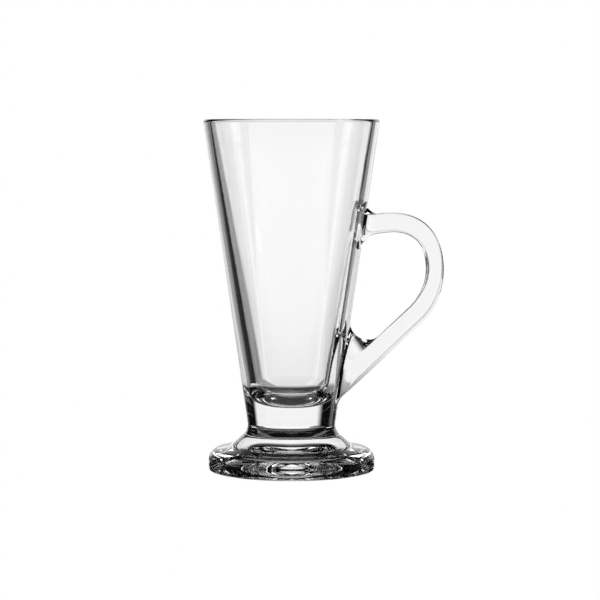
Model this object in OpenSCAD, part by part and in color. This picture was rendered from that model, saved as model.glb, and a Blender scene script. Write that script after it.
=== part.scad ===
// Footed glass mug for hot drinks: a tapered bowl with a thick solid base, a short
// waisted stem, a flared disc foot and a looped side handle.
// The four pieces are clear glass, welded hot at the faces where they meet.
// Millimetres. +Z is up, the origin is the centre of the ring that the foot
// stands on, and the handle is on the +X side.

/* [Bowl] */
// Height of the bowl, from its weld on the stem to the rim
bowl_h = 129; // [110:0.5:150]
// Outside diameter of the rim
rim_d = 75; // [68:0.5:84]
// Outside diameter of the bowl at its weld on the stem
bowl_base_d = 37.6; // [34:0.2:42]
// Wall thickness at the rim
rim_wall = 3.1; // [2.6:0.1:4]
// Radius of the fire-polished edges of the rim
rim_round = 1.3; // [0.4:0.1:1.5]
// Thickness of the solid base under the cavity
base_t = 8; // [4:0.2:12]
// Diameter of the cavity where its wall would meet its floor
cavity_d = 27.5; // [23:0.5:30]
// Radius between the cavity's wall and its floor
floor_round = 12.5; // [5:0.5:13]

/* [Stem] */
// Height of the stem, from its weld on the foot to the bowl
stem_h = 7.5; // [6.5:0.5:14]
// Radius of the hollow curve at the waist
waist_round = 6; // [3:0.1:7.5]

/* [Foot] */
// Height of the foot, from the table to its weld on the stem
foot_h = 12.5; // [12:0.5:16]
// Outside diameter of the foot's disc
foot_d = 70.6; // [64:0.2:80]
// Height of the disc's top where the flank rises from it
disc_h = 10.2; // [9.4:0.1:10.6]
// Height of the disc's top at its outer edge, before that edge is rounded
edge_h = 8.3; // [7:0.1:9]
// Radius of the disc's upper edge
edge_top_round = 4.6; // [1:0.1:5]
// Radius of the disc's lower edge
edge_low_round = 0.8; // [0.4:0.1:2]
// Diameter where the flank meets the disc's top
flank_d = 51.6; // [48:0.1:54]
// Radius of the hollow curve between the flank and the disc
flank_round = 4.7; // [2:0.1:5]
// Diameter of the recess under the foot
recess_d = 47; // [40:0.2:56]
// Height of the recess under the foot
recess_h = 5.6; // [3:0.1:8]
// Shape of the recess: 2 is a dome, larger is flatter in the middle
recess_power = 3.5; // [2:0.1:5]

/* [Handle] */
// Distance from the mug's axis to the handle's outermost face
handle_reach = 64.4; // [60:0.2:72]
// Height of the upper weld's centre above the bowl's weld on the stem
top_weld_h = 84.2; // [78:0.2:92]
// Height of the lower weld's centre above the bowl's weld on the stem
low_weld_h = 16.9; // [16.5:0.1:24]
// Straight length of the upper arm
arm_l = 7; // [6.6:0.1:10]
// Rise of the upper arm above level, in degrees
arm_rise = 7.9; // [0:0.1:14]
// Bulge of the upper bend beyond a plain arc
shoulder = 1.35; // [0:0.05:2]
// Centreline radius of the lower bend
bend_low_r = 26.6; // [20:0.1:30]
// Thickness of the upper arm
top_t = 8.5; // [7:0.1:11]
// Thickness at the handle's outermost point
side_t = 7.6; // [6:0.1:9]
// Thickness of the slanting lower arm
low_t = 8.5; // [7:0.1:10]
// Width of the handle from front to back
handle_w = 9.6; // [8:0.1:12]
// Radius of the handle's long edges
edge_round = 0.8; // [0.6:0.1:2.5]
// Fillet above the upper weld
top_fillet_out = 4.1; // [2:0.1:4.4]
// Fillet below the upper weld
top_fillet_in = 8.5; // [2.5:0.1:9]
// Fillet above the lower weld
low_fillet_in = 7; // [4:0.1:7.4]
// Fillet below the lower weld
low_fillet_out = 10; // [5:0.5:14]
// Length along the arm of the flare at the two sides of each weld
side_fillet = 4.5; // [2:0.1:5]
// Extra half width of the handle where a side flare meets the wall
side_spread = 3.5; // [2:0.1:5]
// Form of the web above the lower weld: 0 is round, 1 is a straight bevel
web_bevel = 0.45; // [0:0.05:1]

/* [Hidden] */
$fn = 128;
glass = [0.84, 0.91, 0.91, 0.5];

// Points along one rounded corner, and rings along each stretch of the handle
corner_steps = 10;
recess_steps = 12;
blend_steps = 8;
bend_top_steps = 14;
bend_low_steps = 7;
slant_steps = 3;
cap_steps = 4;
// Points along a rounded edge of the handle, and along its flat side
edge_steps = 4;
flat_steps = 4;
// Size of the innermost ring of a weld face, beside the weld's own outline
cap_eye = 0.03;
// Largest share of the handle's half width that a rounded edge may take
edge_share = 0.98;

// Heights of the welds, the cavity's floor and the rim
stem_z = foot_h;
bowl_z = stem_z + stem_h;
floor_z = bowl_z + base_t;
rim_z = bowl_z + bowl_h;

rim_r = rim_d / 2;
bowl_base_r = bowl_base_d / 2;
foot_r = foot_d / 2;
recess_r = recess_d / 2;
handle_half_w = handle_w / 2;

function unit(v) = v / norm(v);
function along(a) = [cos(a), sin(a)];
function mix(a, b, t) = a + (b - a) * t;
function ease(t) = t * t * (3 - 2 * t);

// Lean of the bowl's outer wall from the vertical, and its radius at a height
wall_lean = atan2(rim_r - bowl_base_r, bowl_h);
wall_up = along(90 - wall_lean);
function wall_r(z) = bowl_base_r + (z - bowl_z) * tan(wall_lean);

// The waist's curve leaves the bowl's wall at the weld and turns into the flank, one
// straight line that runs through the weld between stem and foot to the disc's top
bowl_base = [bowl_base_r, bowl_z];
flank_end = [flank_d / 2, disc_h];
to_waist = bowl_base + waist_round * along(-wall_lean) - flank_end;
flank_lean = atan2(to_waist.y, to_waist.x) + asin(waist_round / norm(to_waist)) - 90;
waist = bowl_base - wall_up * waist_round * tan((flank_lean + wall_lean) / 2);
weld_r = flank_end.x - (stem_z - disc_h) * tan(flank_lean);

// Arc that rounds the corner at b, between the lines to a and to c
function round_corner(a, b, c, r) =
    let (u = unit(a - b), v = unit(c - b), half = acos(u * v) / 2)
    let (centre = b + unit(u + v) * r / sin(half))
    let (first = b + u * r / tan(half) - centre)
    let (start = atan2(first.y, first.x), turn = sign(cross(v, u)) * (180 - 2 * half))
    [for (i = [0:corner_steps]) centre + r * along(start + turn * i / corner_steps)];

// Closed outline through corners [x, y, radius]; a radius of 0 leaves one sharp
function outline(corners) =
    let (n = len(corners))
    [for (i = [0:n - 1])
        let (p = corners[(i + n - 1) % n], q = corners[i], s = corners[(i + 1) % n])
        each q[2] > 0
            ? round_corner([p.x, p.y], [q.x, q.y], [s.x, s.y], q[2])
            : [[q.x, q.y]]];

// Recess under the foot, from its crown out to the standing ring
function recess() =
    [for (i = [0:recess_steps])
        let (x = sin(90 * i / recess_steps))
        [recess_r * x, recess_h * (1 - pow(x, recess_power)), 0]];

// Bowl: outer cone, rounded rim, and a cavity with a rounded floor
module bowl()
    color(glass)
    rotate_extrude()
    polygon(outline([
        [0, bowl_z, 0],
        [bowl_base_r, bowl_z, 0],
        [rim_r, rim_z, rim_round],
        [rim_r - rim_wall, rim_z, rim_round],
        [cavity_d / 2, floor_z, floor_round],
        [0, floor_z, 0]
    ]));

// Stem: solid neck that is hollowed at the waist and flares down to the foot
module stem()
    color(glass)
    rotate_extrude()
    polygon(outline([
        [0, stem_z, 0],
        [weld_r, stem_z, 0],
        [waist.x, waist.y, waist_round],
        [bowl_base_r, bowl_z, 0],
        [0, bowl_z, 0]
    ]));

// Foot: disc with rounded edges, the lower end of the flank, and a recessed underside
module foot()
    color(glass)
    rotate_extrude()
    polygon(outline(concat(recess(), [
        [foot_r, 0, edge_low_round],
        [foot_r, edge_h, edge_top_round],
        [flank_end.x, flank_end.y, flank_round],
        [weld_r, stem_z, 0],
        [0, stem_z, 0]
    ])));

// The handle's centreline lies in the XZ plane. It leaves the upper weld on a short
// rising arm, turns down through the upper bend to its outermost point, goes on
// through the lower bend and runs straight to the lower weld.
top_weld = [wall_r(bowl_z + top_weld_h), bowl_z + top_weld_h];
low_weld = [wall_r(bowl_z + low_weld_h), bowl_z + low_weld_h];
arm_end = top_weld + arm_l * along(arm_rise);
outermost_x = handle_reach - side_t / 2;
bend_top_r = (outermost_x - arm_end.x) / (1 + sin(arm_rise));
bend_top_c = arm_end + bend_top_r * along(arm_rise - 90);
bend_low_c = [outermost_x - bend_low_r, bend_top_c.y];
to_bend = bend_low_c - low_weld;
slant = atan2(to_bend.y, to_bend.x) - asin(bend_low_r / norm(to_bend));

// One ring of the handle: its outer and inner edge in XZ, how far the web of a fillet
// reaches from each of them to the plain arm's own edge, how straight the inner web is,
// and the ring's size beside a full one
function ring(outer, inner, web_outer = 0, web_inner = 0, straight = 0, size = 1) =
    [outer, inner, web_outer, web_inner, straight, size];

// Ring across a bend, at angle a on a centreline circle
function bend_ring(centre, r, a, thick) =
    ring(centre + (r + thick / 2) * along(a), centre + (r - thick / 2) * along(a));

// Where an arm's edge, offset sideways from the weld, meets the wall
function wall_corner(weld, arm, offset) =
    weld + wall_up * (cross(arm, offset) / cross(arm, wall_up));

// Point at share t of the arc of radius r that leads from the wall to an arm's edge
function fillet_point(corner, wall_way, arm, r, t) =
    let (half = acos(wall_way * arm) / 2, to_centre = unit(wall_way + arm) * r / sin(half))
    let (first = wall_way * r / tan(half) - to_centre)
    let (start = atan2(first.y, first.x), turn = sign(cross(arm, wall_way)) * (180 - 2 * half))
    corner + to_centre + r * along(start + turn * t);

// Length of a fillet's web along its ring
function web(from_corner, arm, across) = abs(cross(arm, from_corner) / cross(arm, across));

// Ring of a weld's blend: t is 0 on the wall and 1 where the arm is plain
function blend_ring(weld, arm_a, thick, outer_up, r_outer, r_inner, straight, t) =
    let (arm = along(arm_a), side = along(arm_a + 90) * thick / 2 * outer_up, way = wall_up * outer_up)
    let (corner_outer = wall_corner(weld, arm, side), corner_inner = wall_corner(weld, arm, -side))
    let (outer = fillet_point(corner_outer, way, arm, r_outer, t))
    let (inner = fillet_point(corner_inner, -way, arm, r_inner, t))
    let (across = unit(outer - inner))
    let (web_outer = web(outer - corner_outer, arm, across))
    let (web_inner = web(inner - corner_inner, arm, across))
    ring(outer, inner, web_outer, web_inner, straight);

function top_ring(t) = blend_ring(top_weld, arm_rise, top_t, 1, top_fillet_out, top_fillet_in, 0, t);
function low_ring(t) = blend_ring(low_weld, slant, low_t, -1, low_fillet_out, low_fillet_in, web_bevel, t);

// Ring between two others
function between(a, b, t) = [for (i = [0:len(a) - 1]) mix(a[i], b[i], t)];

// Ring of a weld face, shrunk towards the middle of the weld
function shrunk(a, size) =
    let (c = (a[0] + a[1]) / 2)
    ring(mix(c, a[0], size), mix(c, a[1], size), a[2], a[3], a[4], size);

slant_start = bend_ring(bend_low_c, bend_low_r, slant - 90, low_t);
cap_sizes = [for (i = [0:cap_steps - 1]) mix(cap_eye, 1, i / cap_steps)];

handle_rings = concat(
    [for (size = cap_sizes) shrunk(top_ring(0), size)],
    [for (i = [0:blend_steps]) top_ring(i / blend_steps)],
    [for (i = [0:bend_top_steps])
        let (t = i / bend_top_steps, r = bend_top_r + shoulder * pow(sin(180 * t), 2))
        bend_ring(bend_top_c, r, (90 + arm_rise) * (1 - t), mix(top_t, side_t, ease(t)))],
    [for (i = [1:bend_low_steps])
        let (t = i / bend_low_steps)
        bend_ring(bend_low_c, bend_low_r, (slant - 90) * t, mix(side_t, low_t, ease(t)))],
    [for (i = [1:slant_steps]) between(slant_start, low_ring(1), i / (slant_steps + 1))],
    [for (i = [blend_steps:-1:0]) low_ring(i / blend_steps)],
    [for (i = [cap_steps - 1:-1:0]) shrunk(low_ring(0), cap_sizes[i])]
);

// One rounded edge of a ring, as [across, along Y], from the face to the flat side
function ring_edge(half_t, web, straight, size) =
    let (across_r = (edge_round + web) * size)
    let (side_r = min(edge_round + web, edge_share * handle_half_w) * size)
    let (bevel = straight * web / (web + edge_round))
    [for (i = [0:edge_steps])
        let (t = i / edge_steps, a = 90 * t)
        let (across = mix(1 - cos(a), t, bevel), side = mix(1 - sin(a), 1 - t, bevel))
        [half_t - across_r * across, handle_half_w * size - side_r * side]];

function mirrored(points, x, y) = [for (p = points) [p.x * x, p.y * y]];
function reversed(points) = [for (i = [len(points) - 1:-1:0]) points[i]];

// Section of a ring: a rectangle with rounded edges
function section(half_t, web_outer, web_inner, straight, size) =
    let (outer = ring_edge(half_t, web_outer, 0, size))
    let (inner = mirrored(reversed(ring_edge(half_t, web_inner, straight, size)), -1, 1))
    let (flat = [for (i = [1:flat_steps - 1]) mix(outer[edge_steps], inner[0], i / flat_steps)])
    let (side = concat(outer, flat, inner))
    concat([[half_t, 0]], side, [[-half_t, 0]], mirrored(reversed(side), 1, -1));

// How much wider the handle's half width is at a gap from the wall
function side_flare(gap) =
    side_spread * (1 - sqrt(1 - pow(max(0, 1 - gap / side_fillet), 2)));

// Points round one ring. Near a weld they spread and follow the bowl's round wall.
function ring_outline(r) =
    let (middle = (r[0] + r[1]) / 2, reach = (r[0] - r[1]) / 2, half_t = norm(reach))
    [for (p = section(half_t, r[2], r[3], r[4], r[5]))
        let (q = middle + reach * p.x / half_t)
        let (wall = wall_r(q.y), gap = max(0, q.x - wall))
        let (y = p.y * (1 + side_flare(gap) / handle_half_w))
        let (wrap = pow(max(0, 1 - gap / (2 * side_fillet)), 2))
        [q.x - wrap * (wall - sqrt(wall * wall - y * y)), y, q.y]];

// Handle: rings joined into one closed skin
module handle() {
    outlines = [for (r = handle_rings) ring_outline(r)];
    last = len(outlines) - 1;
    m = len(outlines[0]);
    sides = [for (k = [0:last - 1], i = [0:m - 1])
        let (a = k * m + i, b = k * m + (i + 1) % m)
        each [[a, b, b + m], [a, b + m, a + m]]];
    ends = [for (i = [1:m - 2]) each [[0, i + 1, i], [last * m, last * m + i, last * m + i + 1]]];
    color(glass)
    polyhedron([for (points = outlines) each points], concat(sides, ends));
}

bowl();
stem();
foot();
handle();
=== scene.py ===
"""Footed glass mug for hot drinks: clear pressed glass on a white studio table.

The bowl, stem, foot and handle are closed skins that meet at their welds. Welded glass has
no optical surface inside it, so the faces at a weld are see-through and the rest is glass.
Lengths are in millimetres until a mesh is made, and the frame is the CAD part's own.
"""

import math

import bpy
import numpy as np
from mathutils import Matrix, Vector
from mathutils.geometry import delaunay_2d_cdt


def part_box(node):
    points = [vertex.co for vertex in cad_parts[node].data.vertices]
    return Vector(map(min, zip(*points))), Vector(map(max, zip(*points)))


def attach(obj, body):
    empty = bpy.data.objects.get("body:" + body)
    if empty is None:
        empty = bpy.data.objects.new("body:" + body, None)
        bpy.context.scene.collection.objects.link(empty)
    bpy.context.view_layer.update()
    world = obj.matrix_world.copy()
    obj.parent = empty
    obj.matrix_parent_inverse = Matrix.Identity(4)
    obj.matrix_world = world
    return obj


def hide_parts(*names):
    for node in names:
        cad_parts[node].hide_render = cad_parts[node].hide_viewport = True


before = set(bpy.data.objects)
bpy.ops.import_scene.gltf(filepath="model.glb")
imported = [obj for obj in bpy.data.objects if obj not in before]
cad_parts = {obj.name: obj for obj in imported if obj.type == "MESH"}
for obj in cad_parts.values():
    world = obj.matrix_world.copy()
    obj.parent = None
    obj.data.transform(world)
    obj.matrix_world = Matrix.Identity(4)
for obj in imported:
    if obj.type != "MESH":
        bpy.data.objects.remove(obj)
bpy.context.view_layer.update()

MM = 0.001

# Sizes that the CAD solids give
bowl_low, bowl_high = (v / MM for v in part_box("bowl"))
foot_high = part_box("foot")[1] / MM
handle_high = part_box("handle")[1] / MM
BOWL_Z = bowl_low.z
RIM_Z = bowl_high.z
FOOT_H = foot_high.z
FOOT_R = foot_high.x
HANDLE_REACH = handle_high.x

# Bowl
RIM_R = 37.5
BOWL_BASE_R = 18.8
RIM_WALL = 3.1
RIM_ROUND = 1.3
BASE_T = 8.0
CAVITY_R = 13.75
FLOOR_ROUND = 12.5

# Stem and foot
WAIST_ROUND = 6.0
DISC_H = 10.2
EDGE_H = 8.3
EDGE_TOP_ROUND = 4.6
EDGE_LOW_ROUND = 0.8
FLANK_R = 25.8
FLANK_ROUND = 4.7
RECESS_R = 23.5
RECESS_H = 5.6
RECESS_POWER = 3.5

# Handle: its centreline, with the welds' heights above the bowl's base
TOP_WELD_H = 84.2
LOW_WELD_H = 16.9
ARM_L = 7.0
ARM_RISE = math.radians(7.9)
SHOULDER = 1.35
BEND_LOW_R = 26.6

# Handle: its thickness, width and edges
TOP_T = 8.5
SIDE_T = 7.6
LOW_T = 8.5
HANDLE_W = 9.6
OUTER_ROUND = 0.6
INNER_ROUND = 0.7
# The inner edge is softer by this much at the outermost bend, between a share of each bend
INNER_SOFT = 1.4
SOFT_FROM = 0.3
SOFT_TO = 0.85
# Most of the half width that an edge may take up
EDGE_SHARE = 0.98

# Handle: fillets of the welds, with the lower inner web partly a straight bevel
TOP_FILLET_OUT = 4.1
TOP_FILLET_IN = 8.5
LOW_FILLET_IN = 7.0
LOW_FILLET_OUT = 10.0
SIDE_FILLET = 4.5
SIDE_SPREAD = 3.5
WRAP_REACH = 2 * SIDE_FILLET
WEB_BEVEL = 0.45

# Fineness of the meshes
TURN_STEPS = 256
ARC_STEP = math.radians(2.5)
ARC_STEPS_LEAST = 4
RECESS_STEPS = 48
WALL_ROWS = 40
BLEND_STEPS = 24
BEND_TOP_STEPS = 48
BEND_LOW_STEPS = 24
SLANT_STEPS = 12
EDGE_STEPS = 10
FLAT_STEPS = 10
CAP_SHARES = (0.7, 0.4, 0.12)
LOOP_MARGIN = 0.35
CUT_TOLERANCE = 1e-7
POINTS_PER_MM = 1e5

# Material slots of a piece
GLASS, WELD = 0, 1

FLOOR_Z = BOWL_Z + BASE_T
wall_lean = math.atan2(RIM_R - BOWL_BASE_R, RIM_Z - BOWL_Z)
turn_angles = np.linspace(-math.pi, math.pi, TURN_STEPS + 1)


def vec(*values):
    return np.array(values, float)


def unit(v):
    return v / np.linalg.norm(v)


def along(angle):
    """Flat unit vector at an angle."""
    return vec(math.cos(angle), math.sin(angle))


def mix(a, b, t):
    return a + (b - a) * t


def ease(t):
    """Smooth step from 0 to 1."""
    return t * t * (3 - 2 * t)


def cross2(a, b):
    return a[0] * b[1] - a[1] * b[0]


def wall_r(z):
    """Radius of the bowl's outer wall at a height."""
    return BOWL_BASE_R + (z - BOWL_Z) * math.tan(wall_lean)


# Profiles


def round_corner(a, b, c, r):
    """Points of the arc of radius r that rounds the corner at b, between the lines to a and to c."""
    u, v = unit(a - b), unit(c - b)
    half = math.acos(u @ v) / 2
    centre = b + unit(u + v) * r / math.sin(half)
    first = b + u * r / math.tan(half) - centre
    start = math.atan2(first[1], first[0])
    turn = math.copysign(math.pi - 2 * half, cross2(v, u))
    steps = max(ARC_STEPS_LEAST, math.ceil(abs(turn) / ARC_STEP))
    return [centre + r * along(start + turn * i / steps) for i in range(steps + 1)]


def outline(corners):
    """Open outline through corners (x, z, radius), with each corner rounded by its own radius."""
    points = [vec(*c[:2]) for c in corners]
    line = [points[0]]
    for i in range(1, len(points) - 1):
        radius = corners[i][2]
        line += round_corner(*points[i - 1:i + 2], radius) if radius else [points[i]]
    return np.array(line + [points[-1]])


def recess():
    """Corners of the recess under the foot, from its crown to the standing ring."""
    places = [math.sin(math.pi / 2 * i / RECESS_STEPS) for i in range(RECESS_STEPS + 1)]
    return [(RECESS_R * x, RECESS_H * (1 - x ** RECESS_POWER), 0) for x in places]


def mug_profile():
    """The whole turned profile, from under the foot, up the outside, over the rim and down inside,
    with the index of the weld between foot and stem and of the weld between stem and bowl."""
    wall_dir = vec(math.sin(wall_lean), math.cos(wall_lean))
    wall_out = vec(wall_dir[1], -wall_dir[0])
    flank_end = vec(FLANK_R, DISC_H)
    base = vec(BOWL_BASE_R, BOWL_Z)
    to_waist = base + WAIST_ROUND * wall_out - flank_end
    reach = np.linalg.norm(to_waist)
    lean = math.atan2(to_waist[1], to_waist[0]) + math.asin(WAIST_ROUND / reach) - math.pi / 2
    waist = base - wall_dir * WAIST_ROUND * math.tan((lean + wall_lean) / 2)
    weld_r = FLANK_R - (FOOT_H - DISC_H) * math.tan(lean)
    line = outline([
        *recess(),
        (FOOT_R, 0, EDGE_LOW_ROUND),
        (FOOT_R, EDGE_H, EDGE_TOP_ROUND),
        (*flank_end, FLANK_ROUND),
        (weld_r, FOOT_H, 0),
        (*waist, WAIST_ROUND),
        (RIM_R, RIM_Z, RIM_ROUND),
        (RIM_R - RIM_WALL, RIM_Z, RIM_ROUND),
        (CAVITY_R, FLOOR_Z, FLOOR_ROUND),
        (0, FLOOR_Z, 0),
    ])
    foot_weld = int(np.argmin(np.linalg.norm(line - vec(weld_r, FOOT_H), axis=1)))
    bowl_weld = int(np.argmin(np.linalg.norm(line - base, axis=1)))
    line[bowl_weld] = base
    return line, foot_weld, bowl_weld


def profile_normals(line):
    """Outward normals (x, z) along a profile that runs with the glass on its left."""
    step = np.gradient(line, axis=0)
    normals = np.stack([step[:, 1], -step[:, 0]], axis=1)
    return normals / np.linalg.norm(normals, axis=1, keepdims=True)


# Skins


class Skin:
    """A closed mesh in the making. Points at the same place are one point."""

    def __init__(self):
        self.points, self.normals, self.faces, self.kinds = [], [], [], []
        self.found = {}

    def point(self, place, normal):
        key = tuple(int(round(c * POINTS_PER_MM)) for c in place)
        if key not in self.found:
            self.found[key] = len(self.points)
            self.points.append(tuple(place))
            self.normals.append(tuple(normal))
        return self.found[key]

    def face(self, corners, kind=GLASS):
        """Adds a face, without corners that fall together."""
        loop = [c for i, c in enumerate(corners) if c != corners[i - 1]]
        if len(loop) > 2:
            self.faces.append(loop)
            self.kinds.append(kind)

    def piece(self, name, materials):
        """The finished object, in metres."""
        mesh = bpy.data.meshes.new(name)
        mesh.from_pydata([Vector(p) * MM for p in self.points], [], self.faces)
        for material in materials:
            mesh.materials.append(material)
        mesh.polygons.foreach_set("material_index", self.kinds)
        mesh.polygons.foreach_set("use_smooth", [True] * len(self.faces))
        mesh.normals_split_custom_set_from_vertices(self.normals)
        piece = bpy.data.objects.new(name, mesh)
        bpy.context.scene.collection.objects.link(piece)
        return piece


def turned(skin, line, normals):
    """Adds the surface that a profile sweeps round the axis."""
    rows = []
    for (r, z), (nr, nz) in zip(line, normals):
        row = [skin.point((r * math.cos(a), r * math.sin(a), z), (nr * math.cos(a), nr * math.sin(a), nz))
               for a in turn_angles[:-1]]
        rows.append(row + row[:1])
    for low, high in zip(rows, rows[1:]):
        for i in range(TURN_STEPS):
            skin.face([low[i], low[i + 1], high[i + 1], high[i]])


def weld_disc(skin, radius, z, up):
    """Adds the flat weld face that closes a turned piece."""
    normal = (0, 0, 1 if up else -1)
    ring = [skin.point((radius * math.cos(a), radius * math.sin(a), z), normal) for a in turn_angles[:-1]]
    skin.face(ring if up else ring[::-1], WELD)


# Handle


def handle_line():
    """The places and angles of the handle's centreline, in the XZ plane."""
    top = vec(wall_r(BOWL_Z + TOP_WELD_H), BOWL_Z + TOP_WELD_H)
    low = vec(wall_r(BOWL_Z + LOW_WELD_H), BOWL_Z + LOW_WELD_H)
    arm_end = top + ARM_L * along(ARM_RISE)
    outermost = HANDLE_REACH - SIDE_T / 2
    bend_r = (outermost - arm_end[0]) / (1 + math.sin(ARM_RISE))
    bend_c = arm_end + bend_r * along(ARM_RISE - math.pi / 2)
    low_c = vec(outermost - BEND_LOW_R, bend_c[1])
    to_bend = low_c - low
    slant = math.atan2(to_bend[1], to_bend[0]) - math.asin(BEND_LOW_R / np.linalg.norm(to_bend))
    return top, low, bend_c, bend_r, low_c, slant


def bend_ring(centre, r, angle, thick, soft):
    """Ring across a bend. Its inner edge is softer by a share of INNER_SOFT."""
    outer = centre + (r + thick / 2) * along(angle)
    inner = centre + (r - thick / 2) * along(angle)
    return [outer, inner, 0.0, INNER_SOFT * soft, 0.0]


def fillet_point(corner, wall_way, arm, r, t):
    """Point at share t of the arc of radius r from the wall to an edge of the arm."""
    half = math.acos(wall_way @ arm) / 2
    to_centre = unit(wall_way + arm) * r / math.sin(half)
    first = wall_way * r / math.tan(half) - to_centre
    turn = math.copysign(math.pi - 2 * half, cross2(arm, wall_way)) * t
    turned_x = first[0] * math.cos(turn) - first[1] * math.sin(turn)
    turned_z = first[0] * math.sin(turn) + first[1] * math.cos(turn)
    return corner + to_centre + vec(turned_x, turned_z)


def blend_ring(weld, arm_angle, thick, outer_up, fillets, bevel, t):
    """Ring in the blend of a weld: t is 0 on the wall and 1 where the arm is plain."""
    wall_up = vec(math.sin(wall_lean), math.cos(wall_lean))
    arm = along(arm_angle)
    side = along(arm_angle + math.pi / 2) * thick / 2 * outer_up
    corners = [weld + wall_up * cross2(arm, s * side) / cross2(arm, wall_up) for s in (1, -1)]
    ways = [wall_up * outer_up, -wall_up * outer_up]
    edges = [fillet_point(c, way, arm, r, t) for c, way, r in zip(corners, ways, fillets)]
    across = unit(edges[1] - edges[0])
    webs = [abs(cross2(arm, e - c) / cross2(arm, across)) for e, c in zip(edges, corners)]
    return edges + webs + [bevel]


def handle_rings():
    """Rings of the handle from the upper weld to the lower one: the outer and the inner edge in XZ,
    how far the web of a fillet reaches from each edge to the plain arm's own edge, and how straight
    the inner web is."""
    top, low, bend_c, bend_r, low_c, slant = handle_line()

    def top_ring(t):
        return blend_ring(top, ARM_RISE, TOP_T, 1, (TOP_FILLET_OUT, TOP_FILLET_IN), 0.0, t)

    def low_ring(t):
        return blend_ring(low, slant, LOW_T, -1, (LOW_FILLET_OUT, LOW_FILLET_IN), WEB_BEVEL, t)

    rings = [top_ring(t) for t in np.linspace(0, 1, BLEND_STEPS + 1)]
    for t in np.linspace(0, 1, BEND_TOP_STEPS + 1):
        angle = (math.pi / 2 + ARM_RISE) * (1 - t)
        r = bend_r + SHOULDER * math.sin(math.pi * t) ** 2
        soft = ease(max(0.0, t - SOFT_FROM) / (1 - SOFT_FROM))
        rings.append(bend_ring(bend_c, r, angle, mix(TOP_T, SIDE_T, ease(t)), soft))
    for t in np.linspace(0, 1, BEND_LOW_STEPS + 1)[1:]:
        angle = (slant - math.pi / 2) * t
        soft = 1 - ease(min(1.0, t / SOFT_TO))
        rings.append(bend_ring(low_c, BEND_LOW_R, angle, mix(SIDE_T, LOW_T, ease(t)), soft))
    start, end = rings[-1], low_ring(1)
    for t in np.linspace(0, 1, SLANT_STEPS + 2)[1:-1]:
        rings.append([mix(a, b, t) for a, b in zip(start, end)])
    return rings + [low_ring(t) for t in np.linspace(1, 0, BLEND_STEPS + 1)]


def side_flare(gap):
    """How much wider the handle's half width is at a gap from the wall."""
    near = max(0.0, 1 - gap / SIDE_FILLET)
    return SIDE_SPREAD * (1 - math.sqrt(1 - near ** 2))


def ring_edge(half_t, web, edge_round, straight):
    """One rounded edge of a ring as (across, along Y), from its face to its flat side. The web of a
    fillet makes it wider, and some webs are partly a straight bevel."""
    half_w = HANDLE_W / 2
    across_r = edge_round + web
    side_r = min(across_r, EDGE_SHARE * half_w)
    bevel = straight * web / across_r
    shares = np.linspace(0, 1, EDGE_STEPS + 1)
    turns = shares * math.pi / 2
    across = mix(1 - np.cos(turns), shares, bevel)
    side = mix(1 - np.sin(turns), 1 - shares, bevel)
    return np.stack([half_t - across_r * across, half_w - side_r * side], axis=1)


def section(half_t, outer_web, inner_web, bevel):
    """Section of a ring: a rectangle with rounded edges."""
    outer = ring_edge(half_t, outer_web, OUTER_ROUND, 0.0)
    inner = ring_edge(half_t, inner_web, INNER_ROUND, bevel)[::-1] * (-1, 1)
    shares = np.linspace(0, 1, FLAT_STEPS + 1)[1:-1, None]
    side = np.concatenate([outer, mix(outer[-1], inner[0], shares), inner])
    return np.concatenate([[(half_t, 0)], side, [(-half_t, 0)], side[::-1] * (1, -1)])


def ring_points(outer, inner, outer_web, inner_web, bevel):
    """Points round one ring. Near a weld they spread and follow the bowl's round wall."""
    middle, reach = (outer + inner) / 2, (outer - inner) / 2
    half_t = np.linalg.norm(reach)
    points = []
    for across, side in section(half_t, outer_web, inner_web, bevel):
        x, z = middle + reach * across / half_t
        wall = wall_r(z)
        gap = max(0.0, x - wall)
        y = side * (1 + side_flare(gap) / (HANDLE_W / 2))
        wrap = max(0.0, 1 - gap / WRAP_REACH) ** 2
        points.append((x - wrap * (wall - math.sqrt(wall * wall - y * y)), y, z))
    return np.array(points)


def wall_normal(place):
    """Normal of the bowl's outer wall at a place on it."""
    x, y, _ = place
    a = math.atan2(y, x)
    return (math.cos(a) * math.cos(wall_lean), math.sin(a) * math.cos(wall_lean), -math.sin(wall_lean))


def handle_skin():
    """The handle's sides, with the two loops of points where it meets the bowl's wall."""
    skin = Skin()
    grid = np.array([ring_points(*r) for r in handle_rings()])
    closed = np.concatenate([grid[:, -1:], grid, grid[:, :1]], axis=1)
    across = np.gradient(closed, axis=1)[:, 1:-1]
    normals = np.cross(across, np.gradient(grid, axis=0))
    normals /= np.linalg.norm(normals, axis=2, keepdims=True)
    for end in (0, -1):
        normals[end] = [wall_normal(p) for p in grid[end]]
    rows = [[skin.point(p, n) for p, n in zip(row, row_normals)] for row, row_normals in zip(grid, normals)]
    for a, b in zip(rows, rows[1:]):
        for i in range(len(a)):
            j = (i + 1) % len(a)
            skin.face([a[i], a[j], b[j], b[i]])
    return skin, [grid[0], grid[-1]]


# The bowl's wall, cut round the handle's welds


def on_wall(angle, z):
    """Place on the bowl's outer wall."""
    r = wall_r(z)
    return (r * math.cos(angle), r * math.sin(angle), z)


def inside(point, loop):
    """Whether a flat point lies in a closed loop of flat points."""
    x, y = point
    a, b = loop, np.roll(loop, -1, axis=0)
    crosses = (a[:, 1] > y) != (b[:, 1] > y)
    with np.errstate(divide="ignore", invalid="ignore"):
        at = a[:, 0] + (y - a[:, 1]) * (b[:, 0] - a[:, 0]) / (b[:, 1] - a[:, 1])
    return bool(np.sum(crosses & (x < at)) % 2)


def clear_of(point, loop):
    """Whether a flat point lies outside a loop, and not too near to it."""
    return not inside(point, loop) and np.min(np.linalg.norm(loop - point, axis=1)) > LOOP_MARGIN


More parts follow.
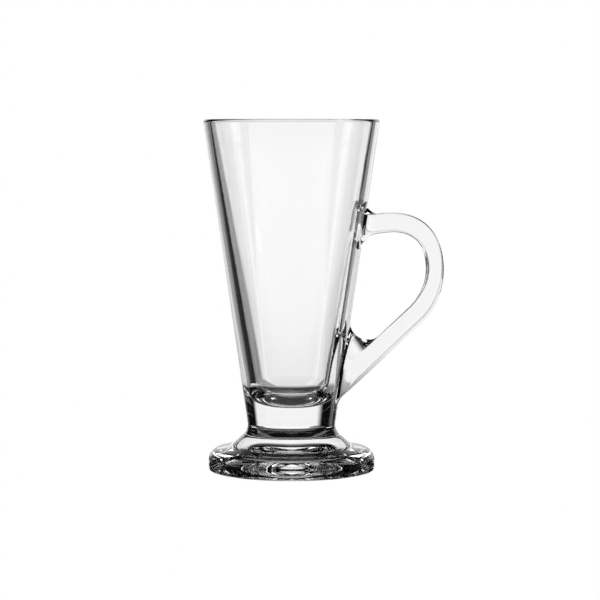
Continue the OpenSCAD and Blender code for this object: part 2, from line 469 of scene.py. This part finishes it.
def wall_points(flat_loops, scale, low_z, high_z):
    """Flat points of the unrolled wall, with the edges that the loops make among them."""
    points, edges = [], []
    for flat in flat_loops:
        first, n = len(points), len(flat)
        points += [tuple(p) for p in flat]
        edges += [(first + i, first + (i + 1) % n) for i in range(n)]
        middle = flat.mean(axis=0)
        for share in CAP_SHARES:
            points += [tuple(mix(middle, p, share)) for p in flat[::2]]
    for z in np.linspace(low_z, high_z, WALL_ROWS + 1):
        row = [vec(a * scale, z) for a in turn_angles]
        points += [tuple(p) for p in row if all(clear_of(p, flat) for flat in flat_loops)]
    return points, edges


def wall_faces(loops, low_z, high_z):
    """Triangles of the wall as places on it: those outside the loops, and those inside each loop."""
    scale = (wall_r(low_z) + wall_r(high_z)) / 2
    flat_loops = [np.array([(math.atan2(y, x) * scale, z) for x, y, z in loop]) for loop in loops]
    points, edges = wall_points(flat_loops, scale, low_z, high_z)
    flat_points, _, faces, *_ = delaunay_2d_cdt([Vector(p) for p in points], edges, [], 0, CUT_TOLERANCE)
    places = [on_wall(p.x / scale, p.y) for p in flat_points]
    groups = [[] for _ in range(len(loops) + 1)]
    for face in faces:
        centre = sum((flat_points[i] for i in face), Vector((0, 0))) / len(face)
        home = next((k for k, flat in enumerate(flat_loops) if inside(centre, flat)), len(loops))
        a, b, c = (flat_points[i] for i in face)
        loop = list(face) if (b - a).cross(c - a) > 0 else list(face)[::-1]
        groups[home].append([places[i] for i in loop])
    return groups[-1], groups[:-1]


def add_faces(skin, faces, kind, flip=False):
    """Adds faces of the wall to a skin, the other way round if flipped."""
    for face in faces:
        corners = [skin.point(p, wall_normal(p)) for p in face]
        skin.face(corners[::-1] if flip else corners, kind)


def mug_skins():
    """The skins of the bowl, stem, foot and handle."""
    line, foot_weld, bowl_weld = mug_profile()
    normals = profile_normals(line)
    rim_start = bowl_weld + 1

    foot = Skin()
    turned(foot, line[:foot_weld + 1], normals[:foot_weld + 1])
    weld_disc(foot, line[foot_weld][0], FOOT_H, True)

    stem = Skin()
    turned(stem, line[foot_weld:bowl_weld + 1], normals[foot_weld:bowl_weld + 1])
    weld_disc(stem, line[foot_weld][0], FOOT_H, False)
    weld_disc(stem, BOWL_BASE_R, BOWL_Z, True)

    handle, loops = handle_skin()
    wall, welds = wall_faces(loops, BOWL_Z, line[rim_start][1])
    for faces in welds:
        add_faces(handle, faces, WELD, flip=True)

    bowl = Skin()
    add_faces(bowl, wall, GLASS)
    for faces in welds:
        add_faces(bowl, faces, WELD)
    turned(bowl, line[rim_start:], normals[rim_start:])
    weld_disc(bowl, BOWL_BASE_R, BOWL_Z, False)
    return bowl, stem, foot, handle


def build_mug():
    """The four pieces of glass, each in place of its CAD solid."""
    bowl, stem, foot, handle = mug_skins()
    body_glass = glass_material("body_glass", BODY_TINT)
    handle_glass = glass_material("handle_glass", HANDLE_TINT)
    weld = weld_material()
    pieces = (
        ("bowl", bowl, body_glass),
        ("stem", stem, body_glass),
        ("foot", foot, body_glass),
        ("handle", handle, handle_glass),
    )
    for name, skin, glass in pieces:
        piece = skin.piece("glass_" + name, [glass, weld])
        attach(piece, "root")
        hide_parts(name)


# Shader trees


def ramp(tree, source, stops, low, high):
    """Greys that follow an angle: its socket is the source, and the stops are in degrees."""
    span = tree.nodes.new("ShaderNodeMapRange")
    span.inputs["From Min"].default_value = math.radians(low)
    span.inputs["From Max"].default_value = math.radians(high)
    node = tree.nodes.new("ShaderNodeValToRGB")
    elements = node.color_ramp.elements
    elements.remove(elements[1])
    for i, (at, grey) in enumerate(stops):
        place = (at - low) / (high - low)
        element = elements[0] if i == 0 else elements.new(place)
        element.position = place
        element.color = (grey, grey, grey, 1)
    tree.links.new(source, span.inputs["Value"])
    tree.links.new(span.outputs[0], node.inputs["Fac"])
    return node.outputs["Color"]


def around_ramp(tree, azimuth, stops):
    """Greys by azimuth."""
    return ramp(tree, azimuth, stops, -180, 180)


def up_ramp(tree, height, stops):
    """Greys by height."""
    return ramp(tree, height, stops, -90, 90)


def put(tree, socket, value):
    """Feeds a socket from another socket, or gives it a number."""
    if isinstance(value, bpy.types.NodeSocket):
        tree.links.new(value, socket)
    elif socket.type == "RGBA":
        socket.default_value = (value, value, value, 1)
    else:
        socket.default_value = value


def maths(tree, operation, *values):
    """Result of a maths node on sockets or numbers."""
    node = tree.nodes.new("ShaderNodeMath")
    node.operation = operation
    for value, socket in zip(values, node.inputs):
        put(tree, socket, value)
    return node.outputs[0]


def blend(tree, factor, a, b):
    """Colour a where the factor is 0 and b where it is 1."""
    node = tree.nodes.new("ShaderNodeMix")
    node.data_type = "RGBA"
    for name, value in (("Factor", factor), ("A", a), ("B", b)):
        put(tree, next(s for s in node.inputs if s.name == name and s.enabled), value)
    return next(s for s in node.outputs if s.enabled)


def noise(tree, size):
    """A soft cloud of values from 0 to 1, of a size in millimetres, fixed to the piece."""
    place = tree.nodes.new("ShaderNodeTexCoord")
    cloud = tree.nodes.new("ShaderNodeTexNoise")
    cloud.inputs["Scale"].default_value = 1 / (size * MM)
    cloud.inputs["Detail"].default_value = CLOUD_DETAIL
    tree.links.new(place.outputs["Object"], cloud.inputs["Vector"])
    return cloud.outputs["Fac"]


# Materials

GLASS_IOR = 1.52
BODY_TINT = 0.985
HANDLE_TINT = 0.93
TINT_DEPTH = 0.012
CLOUD_SIZE = 9.0
CLOUD_DETAIL = 1.0
WAVE_SIZE = 14.0
WAVE_HEIGHT = 0.02


def glass_material(name, tint):
    """Clear glass: a little uneven in its tint, with the slight waves of pressed glass."""
    material = bpy.data.materials.new(name)
    material.use_nodes = True
    tree = material.node_tree
    shader = tree.nodes["Principled BSDF"]
    shader.inputs["Roughness"].default_value = 0.0
    shader.inputs["IOR"].default_value = GLASS_IOR
    shader.inputs["Transmission Weight"].default_value = 1.0
    put(tree, shader.inputs["Base Color"], blend(tree, noise(tree, CLOUD_SIZE), tint, tint - TINT_DEPTH))
    waves = tree.nodes.new("ShaderNodeBump")
    waves.inputs["Distance"].default_value = WAVE_HEIGHT * MM
    put(tree, waves.inputs["Height"], noise(tree, WAVE_SIZE))
    put(tree, shader.inputs["Normal"], waves.outputs[0])
    return material


def weld_material():
    """Faces inside welded glass, which light passes as if they weren't there."""
    material = bpy.data.materials.new("welded_glass")
    material.use_nodes = True
    nodes, links = material.node_tree.nodes, material.node_tree.links
    nodes.clear()
    clear = nodes.new("ShaderNodeBsdfTransparent")
    output = nodes.new("ShaderNodeOutputMaterial")
    links.new(clear.outputs[0], output.inputs["Surface"])
    return material


# Studio

FLOOR_DROP = 0.05
FLOOR_SIZE = 6000.0
# Painted shadow under the foot: a near-black glowing disc that only the glass sees. It is dark out to one
# radius and fades to nothing by the next.
PAINTED_SHADOW_GREY = 0.004
PAINTED_SHADOW_DARK_R = 60.0
PAINTED_SHADOW_END_R = 100.0

# Light of the room by direction. Azimuths are degrees from +Y towards +X, heights are degrees above level.
BACKDROP_LIGHT = 1.08
BACKDROP_AZIMUTH = 2.5
# Grey by azimuth from the backdrop's middle: white between two dark flags
FLAG_GREY = 0.004
BACKDROP_AROUND = (
    (-180, FLAG_GREY), (-22, FLAG_GREY), (-18, 1.0), (23, 1.0), (26, FLAG_GREY), (180, FLAG_GREY),
)
# The backdrop's grey by height, and how narrow it is there beside SQUEEZE_MOST
BACKDROP_UP = (
    (-12, 0.78), (-8, 0.85), (-7, 0.94), (-6, 0.98), (-3, 1.0), (0, 0.9), (3, 0.9),
    (12, 1.0), (18, 0.6), (24, 0.1), (35, 0.02), (90, 0.0),
)
SQUEEZE_MOST = 2.2
SQUEEZE_UP = ((-20, 1.0), (-15, 0.64), (-12, 0.45), (-3, 0.45), (0, 0.3), (8, 0.3), (20, 0.36), (90, 0.45))
# Grey curtains beside the backdrop, below level
CURTAIN_AROUND = (
    (-38, 0.0), (-36, 0.16), (-30, 0.18), (-28, 0.28), (-16, 0.33), (26, 0.22), (36, 0.18), (38, 0.0),
)
CURTAIN_UP = ((-4, 1.0), (-1, 0.0))
# The table: its grey, and by azimuth how far below level its far edge lies, beside TABLE_DEEPEST
TABLE_GREY = 0.88
TABLE_DEEPEST = 25.0
TABLE_BLUR = 0.5
TABLE_AROUND = (
    (-180, 0.56), (-122, 0.56), (-114, 0.84), (-62, 0.84), (-56, 0.73), (-38, 0.73), (-34, 0.84),
    (-27, 1.0), (42, 1.0), (46, 0.36), (60, 0.36), (66, 0.84), (116, 0.84), (124, 0.28), (150, 0.28),
    (165, 0.5), (180, 0.56),
)
# Soft lights at the left and the right, alike, that stand higher further round
PANEL_LIGHT = 2.2
PANEL_AROUND = ((78, 0.0), (82, 1.0), (112, 1.0), (116, 0.0))
PANEL_UP = ((6, 0.0), (10, 1.0), (26, 1.0), (30, 0.0))
PANEL_MIDDLE = 88.0
PANEL_LEAN = 0.8
# Low light at the left
LOW_LIGHT = 0.85
LOW_AROUND = ((-106, 0.0), (-102, 1.0), (-80, 1.0), (-76, 0.0))
LOW_UP = ((-12, 0.0), (-8, 1.0), (6, 1.0), (10, 0.0))
# Overhead light behind the mug
TOP_LIGHT = 1.1
TOP_AROUND = ((-40, 0.0), (-30, 1.0), (40, 1.0), (50, 0.0))
TOP_UP = ((47, 0.0), (53, 1.0))


def patch(tree, azimuth, height, around, up):
    """Greys by azimuth times greys by height."""
    return maths(tree, "MULTIPLY", around_ramp(tree, azimuth, around), up_ramp(tree, height, up))


def backdrop(tree, azimuth, height):
    """The white backdrop, which is wider or narrower with height."""
    off_middle = maths(tree, "SUBTRACT", azimuth, math.radians(BACKDROP_AZIMUTH))
    squeeze = maths(tree, "MULTIPLY", up_ramp(tree, height, SQUEEZE_UP), SQUEEZE_MOST)
    squeezed = maths(tree, "MULTIPLY", off_middle, squeeze)
    return patch(tree, squeezed, height, BACKDROP_AROUND, BACKDROP_UP)


def side_panels(tree, azimuth, height):
    """1 where a direction meets a side light, 0 elsewhere, with soft edges."""
    beside = maths(tree, "ABSOLUTE", azimuth)
    further = maths(tree, "SUBTRACT", beside, math.radians(PANEL_MIDDLE))
    lowered = maths(tree, "SUBTRACT", height, maths(tree, "MULTIPLY", further, PANEL_LEAN))
    return patch(tree, beside, lowered, PANEL_AROUND, PANEL_UP)


def table_share(tree, azimuth, height):
    """1 where a direction meets the table, 0 above its far edge, with a soft step between."""
    deep = maths(tree, "MULTIPLY", around_ramp(tree, azimuth, TABLE_AROUND), math.radians(TABLE_DEEPEST))
    step = tree.nodes.new("ShaderNodeMapRange")
    step.interpolation_type = "SMOOTHSTEP"
    put(tree, step.inputs["Value"], maths(tree, "ADD", height, deep))
    put(tree, step.inputs["From Min"], math.radians(TABLE_BLUR))
    put(tree, step.inputs["From Max"], -math.radians(TABLE_BLUR))
    return step.outputs[0]


def make_room():
    """A white backdrop with curtains and dark flags, a bright table, side, low and overhead lights
    and a dark ceiling, which the glass shows. The camera itself sees plain white."""
    world = bpy.data.worlds.new("studio")
    bpy.context.scene.world = world
    world.use_nodes = True
    tree = world.node_tree
    place = tree.nodes.new("ShaderNodeTexCoord")
    split = tree.nodes.new("ShaderNodeSeparateXYZ")
    path = tree.nodes.new("ShaderNodeLightPath")
    tree.links.new(place.outputs["Generated"], split.inputs[0])
    azimuth = maths(tree, "ARCTAN2", split.outputs["X"], split.outputs["Y"])
    height = maths(tree, "ARCSINE", split.outputs["Z"])
    curtains = patch(tree, azimuth, height, CURTAIN_AROUND, CURTAIN_UP)
    wall = maths(tree, "MAXIMUM", backdrop(tree, azimuth, height), curtains)
    low = blend(tree, patch(tree, azimuth, height, LOW_AROUND, LOW_UP), wall, LOW_LIGHT)
    top = blend(tree, patch(tree, azimuth, height, TOP_AROUND, TOP_UP), low, TOP_LIGHT)
    lit = blend(tree, side_panels(tree, azimuth, height), top, PANEL_LIGHT)
    room = blend(tree, table_share(tree, azimuth, height), lit, TABLE_GREY)
    seen = blend(tree, path.outputs["Is Camera Ray"], room, 1 / BACKDROP_LIGHT)
    background = tree.nodes["Background"]
    background.inputs["Strength"].default_value = BACKDROP_LIGHT
    tree.links.new(seen, background.inputs["Color"])


def stage_plate(name, corners, drop, grey):
    """A level plate that glows in an even grey, with its shader tree."""
    mesh = bpy.data.meshes.new(name)
    mesh.from_pydata([(x * MM, y * MM, -drop * MM) for x, y in corners], [], [range(len(corners))])
    material = bpy.data.materials.new(name)
    material.use_nodes = True
    tree = material.node_tree
    tree.nodes.clear()
    glow = tree.nodes.new("ShaderNodeEmission")
    glow.inputs["Color"].default_value = (grey, grey, grey, 1)
    output = tree.nodes.new("ShaderNodeOutputMaterial")
    tree.links.new(glow.outputs[0], output.inputs["Surface"])
    mesh.materials.append(material)
    plate = bpy.data.objects.new(name, mesh)
    bpy.context.scene.collection.objects.link(plate)
    return plate, tree, glow, output


def fade_painted_shadow(tree, glow, output):
    """Lets the painted shadow's plate fade from its dark middle to nothing."""
    place = tree.nodes.new("ShaderNodeTexCoord")
    reach = tree.nodes.new("ShaderNodeVectorMath")
    reach.operation = "LENGTH"
    share = tree.nodes.new("ShaderNodeMapRange")
    share.inputs["From Min"].default_value = PAINTED_SHADOW_DARK_R * MM
    share.inputs["From Max"].default_value = PAINTED_SHADOW_END_R * MM
    clear = tree.nodes.new("ShaderNodeBsdfTransparent")
    faded = tree.nodes.new("ShaderNodeMixShader")
    tree.links.new(place.outputs["Object"], reach.inputs[0])
    tree.links.new(reach.outputs["Value"], share.inputs["Value"])
    tree.links.new(share.outputs[0], faded.inputs["Fac"])
    tree.links.new(glow.outputs[0], faded.inputs[1])
    tree.links.new(clear.outputs[0], faded.inputs[2])
    tree.links.new(faded.outputs[0], output.inputs["Surface"])


def make_floor():
    """A white floor for the camera, and a soft painted shadow under the foot: a near-black glowing disc
    that only the glass shows.
    """
    half = FLOOR_SIZE / 2
    square = [(-half, -half), (half, -half), (half, half), (-half, half)]
    floor, *_ = stage_plate("floor", square, FLOOR_DROP, 1.0)
    for other in ("diffuse", "glossy", "transmission", "volume_scatter", "shadow"):
        setattr(floor, "visible_" + other, False)
    # The painted shadow: a dark disc that stands in for the shade under and around the foot
    painted_shadow_round = [PAINTED_SHADOW_END_R * along(a) for a in turn_angles[:-1]]
    painted_shadow, *shader = stage_plate("painted_shadow", painted_shadow_round, 2 * FLOOR_DROP, PAINTED_SHADOW_GREY)
    fade_painted_shadow(*shader)
    painted_shadow.visible_camera = False


# Camera

CAMERA_BACK = 990.0
CAMERA_X = 3.6
CAMERA_Z = 150.0
AIM_Z = 72.3
SENSOR_W = 36.0
LENS = 140.2
SIGHT_METRES = 100.0

# Bounces that light needs inside the glass
GLASS_BOUNCES = 48
MIRROR_BOUNCES = 16
CLEAR_BOUNCES = 64


def make_camera():
    """The photograph's view: from the front, at the height of the rim."""
    camera = bpy.data.objects.new("camera", bpy.data.cameras.new("camera"))
    bpy.context.scene.collection.objects.link(camera)
    place = Vector((CAMERA_X, -CAMERA_BACK, CAMERA_Z)) * MM
    aim = Vector((CAMERA_X, 0, AIM_Z)) * MM
    camera.location = place
    camera.rotation_euler = (aim - place).to_track_quat("-Z", "Y").to_euler()
    camera.data.sensor_width = SENSOR_W
    camera.data.lens = LENS
    camera.data.clip_end = SIGHT_METRES
    bpy.context.scene.camera = camera


def set_light_paths():
    """Enough bounces for thick clear glass, and colours shown as they are."""
    scene = bpy.context.scene
    scene.view_settings.view_transform = "Standard"
    cycles = scene.cycles
    cycles.max_bounces = GLASS_BOUNCES
    cycles.transmission_bounces = GLASS_BOUNCES
    cycles.glossy_bounces = MIRROR_BOUNCES
    cycles.transparent_max_bounces = CLEAR_BOUNCES
    cycles.sample_clamp_indirect = 0


make_camera()
make_room()
make_floor()
set_light_paths()
build_mug()
